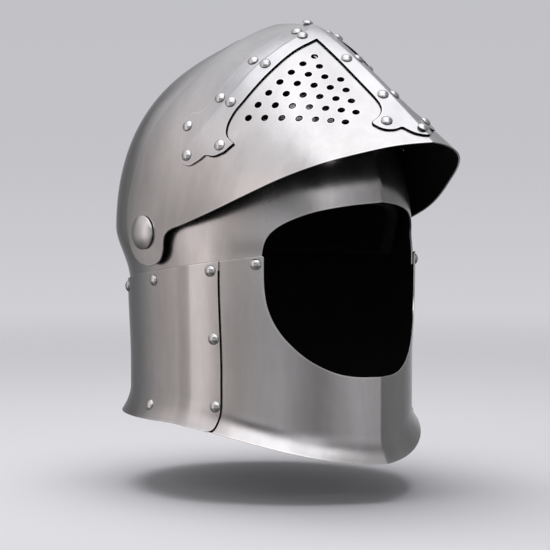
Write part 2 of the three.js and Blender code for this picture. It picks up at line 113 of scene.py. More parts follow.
# ---- surfaces: each gives points in mm from two coordinates and an offset outwards
def section_reach(phi, w, front, rear, keel, level=1.0):
    s, c = np.abs(np.sin(phi)), np.cos(phi)
    reach = np.where(c >= 0, front, rear)
    a = (c / reach) ** 2 + (1 - keel) * (s / w) ** 2
    b = keel * s / w
    return 2 * level / (b + np.sqrt(b * b + 4 * a * level) + 1e-12)


def rim_z(phi):
    return RIM_RISE * smooth(np.abs(phi) / math.radians(85))


def seam_z(y):
    return SEAM_Z + SEAM_SLOPE * y


def neck_point(phi, z, offset):
    swell = 1 + NECK_SWELL * smooth((z - 63) / 70)
    keel = np.where(np.abs(phi) < math.pi / 2, NECK_KEEL, 0.0)
    low = np.maximum(0, 1 - (z - rim_z(phi)) / FLARE_HIGH)
    half, front, rear = NECK_W * swell, NECK_FRONT * swell, NECK_REAR * swell
    r = section_reach(phi, half + offset, front + offset, rear + offset, keel)
    r = r + FLARE_OUT * low * low
    return np.stack([r * np.sin(phi), -r * np.cos(phi), z + 0 * r], -1)


def dome_point(phi, lift, offset):
    t = lift / (math.pi / 2)
    base = mix(DOME_REAR_KEEL, DOME_KEEL, (1 + np.cos(phi)) / 2)
    keel = mix(base, DOME_TOP_KEEL, t * t)
    level = np.maximum(0, 1 - np.sin(lift) ** (2.1 - 0.12 * np.cos(phi)))
    r = section_reach(phi, DOME_W + offset, DOME_R + offset, DOME_REAR + offset, keel, level)
    z = PIVOT_Z + (DOME_HIGH + offset) * np.sin(lift)
    return np.stack([r * np.sin(phi), DOME_Y - r * np.cos(phi), z + 0 * r], -1)


def skull_point(phi, s, offset):
    """s from -1 at the skirt's lower edge, through 0 at the pivot's height, to 90 degrees at the crown."""
    low = neck_point(phi, 100.0, offset - SHEET - GAP)
    t = np.clip(1 + s, 0, 1)
    z = mix(seam_z(low[..., 1]) - SKIRT, PIVOT_Z, t)
    neck = neck_point(phi, z, offset - SHEET - GAP)
    dome = dome_point(phi, np.zeros_like(phi), offset)
    seam = seam_z(neck[..., 1])
    k = smooth((z - seam + 1) / (PIVOT_Z + 4 - seam))[..., None]
    skirt = mix(neck, dome, k)
    skirt[..., 2] = z
    crown = dome_point(phi, np.radians(np.maximum(s, 0)), offset)
    return np.where((s > 0)[..., None], crown, skirt)


TIP_TURN = math.degrees(math.atan2(TIP[1], TIP[0]))
APEX_TURN = math.degrees(math.atan2(APEX[1], APEX[0]))


def ridge_reach(turn):
    t = np.clip((turn - APEX_TURN) / (VISOR_REAR_TURN - APEX_TURN), 0, 1)
    behind = mix(VISOR_REAR, math.hypot(*APEX), (1 - t) ** 1.6)
    dx, dz = APEX[0] - TIP[0], APEX[1] - TIP[1]
    c, s = np.cos(np.radians(turn)), np.sin(np.radians(turn))
    slope = c * dz - s * dx
    straight = (TIP[0] * dz - TIP[1] * dx) / np.where(np.abs(slope) < 1e-3, 1e-3, slope)
    t = np.clip((APEX_TURN - turn) / (APEX_TURN - TIP_TURN), 0, 1)
    bow = VISOR_BULGE * np.sin(math.pi * t ** 0.8).clip(0, 1) ** 0.8
    return np.where(turn > APEX_TURN, behind, straight + bow)


CREASE_FINE = spline(list(zip(np.arange(7) / 6.0, CREASE_TURN)), 120)


def crease_turn(across):
    return np.interp(across, CREASE_FINE[:, 0], CREASE_FINE[:, 1])


def visor_reach(turn, across):
    crease = crease_turn(across)
    ahead = mix(TIP_TURN, APEX_TURN, (turn - TIP_TURN) / (crease - TIP_TURN))
    after = mix(APEX_TURN, VISOR_REAR_TURN, (turn - crease) / (VISOR_REAR_TURN - crease))
    on_ridge = np.where(turn <= crease, ahead, after)
    on_ridge = np.where((turn <= TIP_TURN) | (turn >= VISOR_REAR_TURN), turn, on_ridge)
    reach = np.minimum(230, np.where(turn < 3, 230, ridge_reach(np.maximum(on_ridge, 3))))
    reach = mix(VISOR_REAR, reach, smooth((turn + 40) / 46))
    return np.where(turn > 180, VISOR_REAR, reach)


def visor_point(v, turn, offset):
    """v is signed: its sign is the side, its size runs from 1 at the ridge to 0 at the pivot."""
    v = np.where(np.abs(v) > 1, -np.sign(v) * (2 - np.abs(v)), v)
    side = np.where(v < 0, -1.0, 1.0)
    across = 1 - v * v
    power = 2 + 0.6 * (1 - smooth((turn - 18) / 27))
    share = np.sqrt(np.maximum(0, 1 - (1 - VISOR_KEEL) * across ** power - VISOR_KEEL * across))
    rho = (visor_reach(turn, across) + offset) * share
    narrow = VISOR_NARROW * (1 - smooth((turn - 50) / 30)) * smooth((rho - 70) / 60)
    x = (VISOR_W + offset - narrow) * across
    y = PIVOT_Y - rho * np.cos(np.radians(turn))
    z = PIVOT_Z + rho * np.sin(np.radians(turn))
    return np.stack([side * x, y, z], -1)


# ---- outlines that trim the surfaces
OPENING = [[0, 61.5], [20, 62.3], [33, 65.5], [48, 74], [60, 86.5], [67, 98], [71.5, 111], [73.4, 124],
           [73.8, 138], [73.4, 150], [70.5, 160.5], [66.2, 167], [59.5, 172.3], [48.5, 177.6], [38, 180.6],
           [21, 183.6], [0, 185.6]]
opening_right = spline(OPENING, 90)
OPENING_LOOP = np.vstack([opening_right, (opening_right * [-1, 1])[1:-1][::-1]])

VISOR_EDGE = [[-186, 228.6], [-176, 227.4], [-166.4, 225.2], [-153, 219.7], [-133.5, 212.3], [-109.4, 202],
              [-85.4, 190.2], [-63, 180.2], [-35, 170.3], [-20, 165.8], [-14.5, 162], [-12.3, 156],
              [-11, 149.5], [-7.5, 143.8], [-1, 140.3], [7, 139.2], [15, 140.6], [22, 144.8], [27, 151.5],
              [30.5, 162], [32.5, 175], [33, 187], [31.6, 197], [30.3, 212], [28.5, 223], [24, 237.5],
              [12.8, 261.5], [3, 281], [-2, 298], [-6, 322]]
VISOR_LOOP = np.vstack([spline(VISOR_EDGE, 160), [[-6.5, 340], [-190, 340]]])

ARM_EDGE = [[-65.8, 301.4], [-64.3, 295], [-62.5, 283.7], [-59.6, 271.2], [-56.2, 258.2], [-53.5, 249.7],
            [-52.9, 240.4], [-55.5, 233.2], [-63.5, 227.4]]
ARM_FOOT = [[-58.4, 221.1], [-51.5, 218.3], [-43.7, 219.2]]
ARM_HEEL = [[-39.8, 215.6], [-31.9, 211.8], [-25, 213.8], [-20.6, 221], [-17.4, 230.5], [-15, 240.5],
            [-15.8, 247.5], [-20, 250.2], [-26.5, 251], [-30, 256], [-32.5, 265], [-35.5, 277], [-37.5, 289],
            [-39.5, 301], [-40.5, 310], [-40, 320]]
ARM_LOOP = np.vstack([spline(ARM_EDGE, 48), spline(ARM_FOOT, 14), spline(ARM_HEEL, 90),
                      [[-56, 330], [-66, 318]]])

SPINE_FOOT = [[9, 1], [11.5, 5.2], [15.2, 8.7], [19.9, 11.2], [23.2, 12.8], [23.1, 17], [24.2, 21],
              [26.8, 24.6], [31, 27], [36.8, 27.9], [39.7, 21.6], [42.9, 17.3], [47.4, 14.2], [52.7, 12.5]]
SPINE_EDGE = [[60, 11.9], [80, 11.8], [100, 11.6], [125, 11.3], [150, 11]]
spine_side = np.vstack([spline(SPINE_FOOT, 110), spline(SPINE_EDGE, 20)])
SPINE_LOOP = np.vstack([spine_side, (spine_side * [1, -1])[::-1]])

BREATHS = [(22.1 + 10.25 * row - 0.27 * row ** 2 - (7.3 - 0.045 * row ** 2) * i,
            290.1 - 5.2 * row - 0.38 * row ** 2 - (2.3 - 0.39 * row) * i - 0.11 * i * i)
           for row, count in enumerate([1, 2, 4, 5, 6, 7, 7]) for i in range(count)]


# ---- finding places on the visor
def solve(value, low, high, steps=22):
    for _ in range(steps):
        middle = (low + high) / 2
        if value(middle):
            low = middle
        else:
            high = middle
    return (low + high) / 2


def visor_xyz(across, turn, side, offset=0.0):
    v = side * math.sqrt(max(0.0, 1 - across))
    return visor_point(np.array([v]), np.array([float(turn)]), offset)[0]


def visor_at(y, z, side):
    turn = math.degrees(math.atan2(z - PIVOT_Z, PIVOT_Y - y))
    rho = math.hypot(z - PIVOT_Z, PIVOT_Y - y)

    def short(u):
        p = visor_xyz(u, turn, side)
        return math.hypot(p[2] - PIVOT_Z, PIVOT_Y - p[1]) > rho
    return visor_xyz(solve(short, 0.0, 1.0), turn, side)


def visor_front(x, z, side):
    def at(turn):
        u = x / VISOR_W
        for _ in range(4):
            p = visor_xyz(u, turn, side)
            u *= x / max(0.01, abs(p[0]))
        return p
    return at(solve(lambda turn: at(turn)[2] < z, 0.0, 75.0))


def frame_of(at, a, b):
    p = at(a, b)
    n = np.cross(at(a + 0.5, b) - at(a - 0.5, b), at(a, b + 0.5) - at(a, b - 0.5))
    n = n / np.linalg.norm(n)
    if n @ np.array([p[0], 0.2 * p[1], 0.3 * (p[2] - 150)]) < 0:
        n = -n
    return p, n


# ---- sheet pieces: a trimmed surface with thickness and rounded edges
CUT_STEPS = 13                   # halvings that find the outline along a grid edge
EDGE_ANGLES = (35, 65, 90)       # how far the rounded edge has turned at each ring, in degrees
WORN_REACH = 30.0                # the edge measure stops growing here
TOP, UNDER, RIM = 0, 1, 2        # the sides of a sheet


def unit(rows):
    return rows / (np.linalg.norm(rows, axis=-1)[..., None] + 1e-12)


def crossings(surface, pa, pb, keep, offset, bend, grid, f):
    """Grid edges that the outline crosses, and the surface coordinates where it does."""
    edges = np.vstack([np.stack([grid[:-1].ravel(), grid[1:].ravel()], 1),
                       np.stack([grid[:, :-1].ravel(), grid[:, 1:].ravel()], 1)])
    edges = edges[(f[edges[:, 0]] > 0) != (f[edges[:, 1]] > 0)]
    swap = f[edges[:, 0]] <= 0
    edges[swap] = edges[swap][:, ::-1]
    a0, a1, b0, b1 = pa[edges[:, 0]], pa[edges[:, 1]], pb[edges[:, 0]], pb[edges[:, 1]]
    low, high = np.zeros(len(edges)), np.ones(len(edges))
    for _ in range(CUT_STEPS):
        t = (low + high) / 2
        good = keep(surface(mix(a0, a1, t), mix(b0, b1, t), offset)) - bend > 0
        low, high = np.where(good, t, low), np.where(good, high, t)
    return edges, mix(a0, a1, low), mix(b0, b1, low)


def trim(surface, a, b, keep, offset, bend, wrap, crown):
    """Surface coordinates of a grid and the faces between them, cut off where keep falls to bend."""
    na, nb = len(a), len(b)
    grid = np.arange(na * nb).reshape(na, nb)
    ids = grid.copy()
    pa, pb = [g.ravel() for g in np.meshgrid(a, b, indexing="ij")]
    f = keep(surface(pa, pb, offset)) - bend
    if wrap:
        ids[-1] = ids[0]
        f.reshape(na, nb)[-1] = f.reshape(na, nb)[0]
    ids = ids.ravel()
    edges, cut_a, cut_b = crossings(surface, pa, pb, keep, offset, bend, grid, f)
    keys = np.sort(ids[edges], axis=1)
    _, first, back = np.unique(keys, axis=0, return_index=True, return_inverse=True)
    cut_id = {tuple(key): na * nb + k for key, k in zip(keys.tolist(), np.ravel(back).tolist())}
    pa, pb = np.concatenate([pa, cut_a[first]]), np.concatenate([pb, cut_b[first]])

    corners = np.stack([grid[:-1, :-1], grid[1:, :-1], grid[1:, 1:], grid[:-1, 1:]], -1).reshape(-1, 4)
    good = f[corners] > 0
    partly = good.any(1) & ~good.all(1)
    faces = ids[corners[good.all(1)]].tolist()
    for quad, inside in zip(ids[corners[partly]].tolist(), good[partly]):
        loop = []
        for k in range(4):
            m = (k + 1) % 4
            if inside[k]:
                loop.append(quad[k])
            if inside[k] != inside[m]:
                loop.append(cut_id[tuple(sorted((quad[k], quad[m])))])
        faces.append(loop)
    used = sorted({i for face in faces for i in face})
    place = {old: new for new, old in enumerate(used)}
    faces = [tuple(dict.fromkeys(place[i] for i in face)) for face in faces]
    faces = [face for face in faces if len(face) >= 3]
    if crown:
        faces.append(tuple(place[i] for i in grid[:-1, -1].tolist() if i in place))
    return pa[used], pb[used], faces


def both_faces(surface, pa, pb, step_a, step_b, outer, inner):
    """A sheet's outer and inner points, the direction across it and its outer normal at each."""
    top, under = surface(pa, pb, outer), surface(pa, pb, inner)
    across = unit(top - under)
    normal = np.cross(surface(pa + step_a, pb, outer) - surface(pa - step_a, pb, outer),
                      surface(pa, pb + step_b, outer) - surface(pa, pb - step_b, outer))
    weak = np.linalg.norm(normal, axis=1) < 1e-9
    normal[weak] = across[weak]
    normal = unit(normal)
    normal[(normal * across).sum(1) < 0] *= -1
    return top, under, across, normal


def open_edge(faces):
    """The points on the open edge of the faces, and the ones before and after each."""
    directed = dict.fromkeys(pair for face in faces for pair in zip(face, face[1:] + face[:1]))
    following = {i: j for i, j in directed if (j, i) not in directed}
    preceding = {j: i for i, j in following.items()}
    rim = [i for i in following if i in preceding]
    return rim, [preceding[i] for i in rim], [following[i] for i in rim]


def edge_rings(top, under, across, normal, rim, before, after, bend):
    """Rings of points and normals that round the edge, from the outer face to the inner one."""
    place = {i: k for k, i in enumerate(rim)}
    near_before = [place.get(i, k) for k, i in enumerate(before)]
    near_after = [place.get(i, k) for k, i in enumerate(after)]
    out = np.cross(unit(top[after] - top[before]), normal[rim])
    for _ in range(2):
        out = unit(out + 0.5 * (out[near_before] + out[near_after]))
    points, normals = [], []
    for base, sign, angles in ((top, 1, EDGE_ANGLES), (under, -1, EDGE_ANGLES[::-1])):
        for angle in angles:
            c, s = math.cos(math.radians(angle)), math.sin(math.radians(angle))
            points.append(base[rim] + out * bend * s - sign * across[rim] * bend * (1 - c))
            normals.append(unit(out * s + sign * normal[rim] * c))
    return points, normals


def cut_sheet(surface, a, b, keep, outer, inner, bend, wrap=False, crown=False):
    """A sheet between two offsets of a surface, kept where keep is positive, with rounded edges.

    Gives points, normals, faces, the side each face is on and each point's distance from the outline.
    """
    pa, pb, faces = trim(surface, a, b, keep, outer, bend, wrap, crown)
    steps = (a[1] - a[0]) * 0.3, 1e-3 * (b[-1] - b[0])
    top, under, across, normal = both_faces(surface, pa, pb, *steps, outer, inner)
    middle = faces[len(faces) // 2]
    p, q, r = top[list(middle[:3])]
    if np.cross(q - p, r - p) @ across[middle[0]] < 0:
        faces = [face[::-1] for face in faces]

    rim, before, after = open_edge(faces)
    ring_points, ring_normals = edge_rings(top, under, across, normal, rim, before, after, bend)
    n, around = len(top), len(rim)
    rings = [rim] + [[2 * n + k * around + i for i in range(around)] for k in range(len(ring_points))]
    rings.append([i + n for i in rim])
    place = {i: k for k, i in enumerate(rim)}
    all_faces = faces + [tuple(i + n for i in face[::-1]) for face in faces]
    side = [TOP] * len(faces) + [UNDER] * len(faces)
    for upper, lower in zip(rings, rings[1:]):
        for m, ahead in enumerate(after):
            if ahead in place:
                j = place[ahead]
                all_faces.append((upper[j], upper[m], lower[m], lower[j]))
                side.append(RIM)
    points = np.vstack([top, under, *ring_points])
    edge = np.zeros(len(points))
    edge[:n] = np.minimum(WORN_REACH, keep(top))
    return points, np.vstack([normal, -normal, *ring_normals]), all_faces, np.array(side), edge


def make_piece(name, points, normals, faces, materials, indices=None, edge=None):
    mesh = bpy.data.meshes.new(name)
    mesh.from_pydata((np.asarray(points) * MM).tolist(), [], faces)
    for material in materials:
        mesh.materials.append(material)
    mesh.polygons.foreach_set("use_smooth", [True] * len(faces))
    if indices is not None:
        mesh.polygons.foreach_set("material_index", indices)
    if edge is not None:
        layer = mesh.attributes.new("edge", "FLOAT", "POINT")
        layer.data.foreach_set("value", np.asarray(edge, dtype=np.float32))
    mesh.validate(verbose=False)
    mesh.update()
    if normals is not None and len(mesh.vertices) == len(normals):
        mesh.normals_split_custom_set_from_vertices(np.asarray(normals).tolist())
    piece = bpy.data.objects.new(name, mesh)
    bpy.context.scene.collection.objects.link(piece)
    return piece


# ---- materials
def new_material(name):
    material = bpy.data.materials.new(name)
    material.use_nodes = True
    tree = material.node_tree
    tree.nodes.clear()
    out = tree.nodes.new("ShaderNodeOutputMaterial")
    shader = tree.nodes.new("ShaderNodeBsdfPrincipled")
    tree.links.new(shader.outputs[0], out.inputs[0])
    return material, tree, shader


def noise(tree, scale, stretch=(1, 1, 1), detail=4.0, rough=0.55):
    source = tree.nodes.new("ShaderNodeTexCoord").outputs["Object"]
    mapping = tree.nodes.new("ShaderNodeMapping")
    mapping.inputs["Scale"].default_value = stretch
    tree.links.new(source, mapping.inputs["Vector"])
    made = tree.nodes.new("ShaderNodeTexNoise")
    made.inputs["Scale"].default_value = scale
    made.inputs["Detail"].default_value = detail
    made.inputs["Roughness"].default_value = rough
    tree.links.new(mapping.outputs[0], made.inputs["Vector"])
    return made.outputs["Fac"]


def scaled(tree, value, low, high, from_low=0.3, from_high=0.7):
    made = tree.nodes.new("ShaderNodeMapRange")
    for key, number in (("From Min", from_low), ("From Max", from_high), ("To Min", low), ("To Max", high)):
        made.inputs[key].default_value = number
    tree.links.new(value, made.inputs["Value"])
    return made.outputs[0]


def math_node(tree, operation, a, b):
    made = tree.nodes.new("ShaderNodeMath")
    made.operation = operation
    for slot, value in zip(made.inputs, (a, b)):
        if isinstance(value, (int, float)):
            slot.default_value = value
        else:
            tree.links.new(value, slot)
    return made.outputs[0]


def mixed(tree, factor, a, b):
    made = tree.nodes.new("ShaderNodeMix")
    made.data_type = "RGBA"
    tree.links.new(factor, made.inputs[0])
    for slot, value in ((made.inputs[6], a), (made.inputs[7], b)):
        if isinstance(value, tuple):
            slot.default_value = value
        else:
            tree.links.new(value, slot)
    return made.outputs[2]


def shade(colour, factor):
    return tuple(min(1.0, factor * c) for c in colour[:3]) + (1,)


def raised(tree, height, strength, distance, below=None):
    """Relief from a height, on top of another relief when one is given."""
    made = tree.nodes.new("ShaderNodeBump")
    made.inputs["Strength"].default_value = strength
    made.inputs["Distance"].default_value = distance
    tree.links.new(height, made.inputs["Height"])
    if below:
        tree.links.new(below, made.inputs["Normal"])
    return made.outputs[0]


def steel(name, cool, warm, rough, grain=(60, 60, 2.2), wear=True):
    """Satin brushed plate: fine drawn grain, slow tint and polish changes, brighter rubbed edges."""
    material, tree, shader = new_material(name)
    shader.inputs["Metallic"].default_value = 1.0
    clouds = noise(tree, 9.0, detail=3.0)
    streaks = noise(tree, 46.0, stretch=grain, detail=6.0, rough=0.7)
    smears = noise(tree, 22.0, stretch=(1, 1, 0.25), detail=5.0, rough=0.6)
    smudge = noise(tree, 13.0, stretch=(1.4, 1.4, 0.3), detail=5.0, rough=0.6)
    tint = mixed(tree, scaled(tree, clouds, 0.0, 1.0), cool, warm)
    tint = mixed(tree, scaled(tree, smudge, 0.8, 0.0, 0.38, 0.62), tint, shade(warm, 0.72))
    fine = scaled(tree, streaks, 0.0, 1.0, 0.25, 0.75)
    colour = mixed(tree, scaled(tree, fine, 0.0, 0.22, 0.0, 1.0), tint, shade(cool, 0.86))
    polish = scaled(tree, smears, rough - 0.05, rough + 0.07)
    roughness = math_node(tree, "ADD", polish, scaled(tree, fine, -0.03, 0.03, 0, 1))
    if wear:
        edge = tree.nodes.new("ShaderNodeAttribute")
        edge.attribute_name = "edge"
        rubbed = scaled(tree, edge.outputs["Fac"], 1.0, 0.0, 0.1, 1.5)
        patches = scaled(tree, noise(tree, 120.0, detail=3.0), 0.35, 1.0)
        worn = math_node(tree, "MULTIPLY", rubbed, patches)
        colour = mixed(tree, worn, colour, shade(warm, 1.15))
        roughness = math_node(tree, "SUBTRACT", roughness, math_node(tree, "MULTIPLY", worn, 0.1))
    tree.links.new(colour, shader.inputs["Base Color"])
    tree.links.new(roughness, shader.inputs["Roughness"])
    waves = raised(tree, noise(tree, 26.0, detail=2.0), 0.11, 0.004)
    tree.links.new(raised(tree, streaks, 0.08, 0.0006, waves), shader.inputs["Normal"])
    return material


def painted_shade_black_material(name):
    """Near-black matt surface, slightly uneven: painted shade in place of the darkness inside the helmet and
    in hidden edges.
    """
    material, tree, shader = new_material(name)
    patches = noise(tree, 60.0, detail=5.0)
    colour = mixed(tree, scaled(tree, patches, 0.0, 1.0), (0.0022, 0.0022, 0.0024, 1),
                   (0.006, 0.006, 0.0062, 1))
    tree.links.new(colour, shader.inputs["Base Color"])
    tree.links.new(scaled(tree, patches, 0.75, 0.95), shader.inputs["Roughness"])
    shader.inputs["Specular IOR Level"].default_value = 0.12
    tree.links.new(raised(tree, noise(tree, 500.0), 0.15, 0.0005), shader.inputs["Normal"])
    return material


def cloth(name):
    """Black quilted padding with a fine plain weave."""
    material, tree, shader = new_material(name)
    weave = []
    for axis in ("X", "Z"):
        wave = tree.nodes.new("ShaderNodeTexWave")
        wave.bands_direction = axis
        wave.inputs["Scale"].default_value = 420.0
        wave.inputs["Distortion"].default_value = 1.2
        tree.links.new(tree.nodes.new("ShaderNodeTexCoord").outputs["Object"], wave.inputs["Vector"])
        weave.append(wave.outputs["Fac"])
    cross = math_node(tree, "MULTIPLY", weave[0], weave[1])
    colour = mixed(tree, cross, (0.003, 0.003, 0.0033, 1), (0.010, 0.010, 0.011, 1))
    tree.links.new(colour, shader.inputs["Base Color"])
    shader.inputs["Roughness"].default_value = 0.95
    shader.inputs["Specular IOR Level"].default_value = 0.1
    tree.links.new(raised(tree, cross, 0.3, 0.0006), shader.inputs["Normal"])
    return material


PLATE_STEEL = steel("plate_steel", (0.48, 0.475, 0.47, 1), (0.53, 0.505, 0.49, 1), 0.2)
VISOR_STEEL = steel("visor_steel", (0.50, 0.495, 0.49, 1), (0.55, 0.53, 0.515, 1), 0.21, grain=(50, 3, 3))
STRAP_STEEL = steel("strap_steel", (0.50, 0.50, 0.505, 1), (0.54, 0.53, 0.525, 1), 0.22, grain=(12, 40, 40))
RIVET_STEEL = steel("rivet_steel", (0.55, 0.545, 0.54, 1), (0.61, 0.595, 0.585, 1), 0.16,
                    grain=(9, 9, 9), wear=False)
PIVOT_STEEL = steel("pivot_steel", (0.56, 0.555, 0.55, 1), (0.62, 0.60, 0.59, 1), 0.24,
                    grain=(2, 40, 40), wear=False)
# near-black painted shade for the inside faces, the hidden edge walls and the pivot nuts
PAINTED_SHADE_BLACK = painted_shade_black_material("painted_shade_inside")
LINER = cloth("liner_cloth")


# ---- the plates
def plan_angle(p):
    return np.arctan2(p[:, 0], -p[:, 1])


def opening_field(p):
    outside = -outline_distance(p[:, 0], p[:, 2], OPENING_LOOP)
    return np.where(p[:, 1] < -10, outside, 99.0)


def round_corner(f, g, radius):
    both = radius - np.hypot(np.maximum(radius - f, 0), np.maximum(radius - g, 0))
    return np.where((f < radius) & (g < radius), both, np.minimum(f, g))


BASE_PHI = np.radians(np.linspace(-180, 180, 721))
BASE_Y = neck_point(BASE_PHI, np.full(721, 60.0), 0.0)[:, 1]


def plate_top(p):
    return seam_z(np.interp(plan_angle(p), BASE_PHI, BASE_Y)) - p[:, 2]


def plate_bottom(p):
    return p[:, 2] - rim_z(plan_angle(p))


def joggle(phi):
    y = np.interp(phi, BASE_PHI, BASE_Y)
    return (SHEET + GAP) * (1 - smooth((y + 33) / 14))


def rear_edge(p):
    line = np.interp(p[:, 2], [-20, 20, 27, 34, 260], [3, 2, 0.4, 0, 0]) + PLATE_FRONT_Y
    return p[:, 1] - line


def front_keep(p):
    f = np.minimum(plate_top(p), plate_bottom(p))
    return np.minimum(np.minimum(f, opening_field(p)), FRONT_END_Y - p[:, 1])


def rear_keep(p):
    return np.minimum(plate_top(p), round_corner(plate_bottom(p), rear_edge(p), 4.0))


def visor_keep(p):
    f = outline_distance(p[:, 1], p[:, 2], VISOR_LOOP)
    front = (p[:, 2] > 225) & (p[:, 1] < -50)
    q = p[front]
    least = np.full(len(q), 99.0)
    for centre, axis in BREATH_FRAMES:
        d = q - centre
        away = np.linalg.norm(d - (d @ axis)[:, None] * axis, axis=1)
        least = np.minimum(least, away - BREATH_R)
    f[front] = np.minimum(f[front], least)
    bore = np.hypot(p[:, 1] - PIVOT_Y, p[:, 2] - PIVOT_Z) - (PIVOT_SHANK_R + GAP)
    return np.minimum(f, bore)


SPINE_ALONG = np.array([TIP[0] - APEX[0], APEX[1] - TIP[1]]) / math.hypot(TIP[0] - APEX[0], APEX[1] - TIP[1])


def strap_keep(p):
    arm = outline_distance(p[:, 1], p[:, 2], ARM_LOOP)
    back, up = p[:, 1] - (PIVOT_Y - TIP[0]), p[:, 2] - (PIVOT_Z + TIP[1])
    along = back * SPINE_ALONG[0] + up * SPINE_ALONG[1]
    spine = outline_distance(along, p[:, 0], SPINE_LOOP)
    return np.maximum(arm, spine)


BREATH_FRAMES = [frame_of(lambda a, b, s=side: visor_front(a, b, s), x, z)
                 for side in (-1, 1) for x, z in BREATHS]

STEP = 1.0      # spacing of the grids, in units of about a millimetre


def neck_surface(offset_of):
    def surface(a, b, offset):
        return neck_point(a, b, offset + offset_of(a))
    return surface


def steel_piece(name, body, slot, material, surface, a, b, keep, outer, inner,
                bend=0.45, painted_shade_rim=None, **more):
    """A fine sheet that stands for the CAD node of the same name; the rim mask picks edge walls painted
    near-black as shade.
    """
    points, normals, faces, side, edge = cut_sheet(surface, a, b, keep, outer, inner, bend, **more)
    # painted shade: inner faces and the chosen edge walls get the near-black material in place of shade
    # inside the helmet and in the seams
    painted_shade_faces = side == UNDER
    if painted_shade_rim:
        painted_shade_faces |= (side == RIM) & painted_shade_rim(points[[face[0] for face in faces]])
    slots = painted_shade_faces.astype(int).tolist()
    piece = make_piece("fine_" + name, points, normals, faces, [material, PAINTED_SHADE_BLACK], slots, edge)
    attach(piece, body)
    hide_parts(name)


# Masks of edge walls that get the near-black painted shade: the rear plate's lapped front edge, the skull
# skirt's edge, the breath holes' walls and the strap's front edges.
def rear_plate_lap(p):
    return (p[:, 1] < -50) & (p[:, 2] > 12) & (p[:, 2] < 138)


def skull_skirt(p):
    return p[:, 2] < 138


def breath_walls(p):
    return (p[:, 1] < -50) & (outline_distance(p[:, 1], p[:, 2], VISOR_LOOP) > 3)


def strap_front(p):
    return p[:, 1] < -46


def joined(*spans):
    """Even values from span to span, each span given as (start, end, count)."""
    parts = [np.linspace(*span) for span in spans]
    return np.concatenate([parts[0]] + [part[1:] for part in parts[1:]])


phi_fine = np.radians(joined((-180, 0, round(270 / STEP)), (0, 180, round(270 / STEP))))
z_fine = joined((-2, 60, round(62 / STEP)), (60, 165, round(70 / STEP)))
steel_piece("front_plate", "helmet", "plate_steel", PLATE_STEEL, neck_surface(lambda phi: 0 * phi),
            phi_fine, z_fine, front_keep, 0.0, -SHEET, wrap=True)
steel_piece("rear_plate", "helmet", "plate_steel", PLATE_STEEL, neck_surface(joggle),
            phi_fine, z_fine, rear_keep, 0.0, -SHEET, wrap=True, painted_shade_rim=rear_plate_lap)

s_fine = joined((-0.998, 0, round(34 / STEP)), (0, 80, round(100 / STEP)))
s_fine = np.append(s_fine, [82, 84, 86, 88, 89.2])
steel_piece("skull", "helmet", "plate_steel", PLATE_STEEL, skull_point,
            phi_fine, s_fine, opening_field, 0.0, -SHEET, wrap=True, crown=True, painted_shade_rim=skull_skirt)


def visor_surface(s, v, offset):
    """s counts turn so that the crease falls on one grid line."""
    crease = crease_turn(1 - np.minimum(1, v * v))
    ahead = 6 + (s - 6) * (crease - 6) / (APEX_TURN - 6)
    after = crease + (s - APEX_TURN) * (110 - crease) / (110 - APEX_TURN)
    turn = np.where(s < 6, s, np.where(s < APEX_TURN, ahead, np.where(s < 110, after, s)))
    return visor_point(v, turn, offset)


v_half = np.linspace(0.004, 1, round(190 / STEP))
v_fine = np.concatenate([-v_half, v_half[::-1][1:]])
s_visor = joined((-90, 6, round(40 / STEP)), (6, APEX_TURN, round(190 / STEP)),
                 (APEX_TURN, 110, round(60 / STEP)), (110, 270, round(60 / STEP)))
steel_piece("visor", "visor_unit", "plate_steel", VISOR_STEEL, visor_surface,
            s_visor, v_fine, visor_keep, 0.0, -SHEET, wrap=True, painted_shade_rim=breath_walls)
s_strap = joined((20, APEX_TURN, round(190 / STEP)), (APEX_TURN, 95, round(60 / STEP)))
steel_piece("visor_strap", "visor_unit", "strap_steel", STRAP_STEEL, visor_surface,
            s_strap, v_fine, strap_keep, GAP + STRAP_THICK, GAP, bend=0.4, painted_shade_rim=strap_front)


# ---- rivets and pivots: domed heads with a shank, turned about their own axis
def turned(name, body, profile, sides, centre, axis, material):
    """A profile turned about an axis, standing for the CAD node of that name."""
    turn = Vector((0, 0, 1)).rotation_difference(Vector(axis)).to_matrix()
    corners = [(math.cos(2 * math.pi * i / sides), math.sin(2 * math.pi * i / sides)) for i in range(sides)]
    rings = profile[1:-1]
    points = [(0, 0, profile[0][1])] + [(r * c, r * s, h) for r, h in rings for c, s in corners]
    points.append((0, 0, profile[-1][1]))
    faces = [(0, 1 + (i + 1) % sides, 1 + i) for i in range(sides)]
    for k in range(len(rings) - 1):
        low, high = 1 + k * sides, 1 + (k + 1) * sides
        faces += [(low + i, low + (i + 1) % sides, high + (i + 1) % sides, high + i) for i in range(sides)]
    last = 1 + (len(rings) - 1) * sides
    faces += [(last + i, last + (i + 1) % sides, len(points) - 1) for i in range(sides)]
    placed = [tuple(turn @ Vector(p) + Vector(centre)) for p in points]
    piece = make_piece("fine_" + name, placed, None, faces, [material])
    piece.data.set_sharp_from_angle(angle=math.radians(50))
    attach(piece, body)
    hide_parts(name)


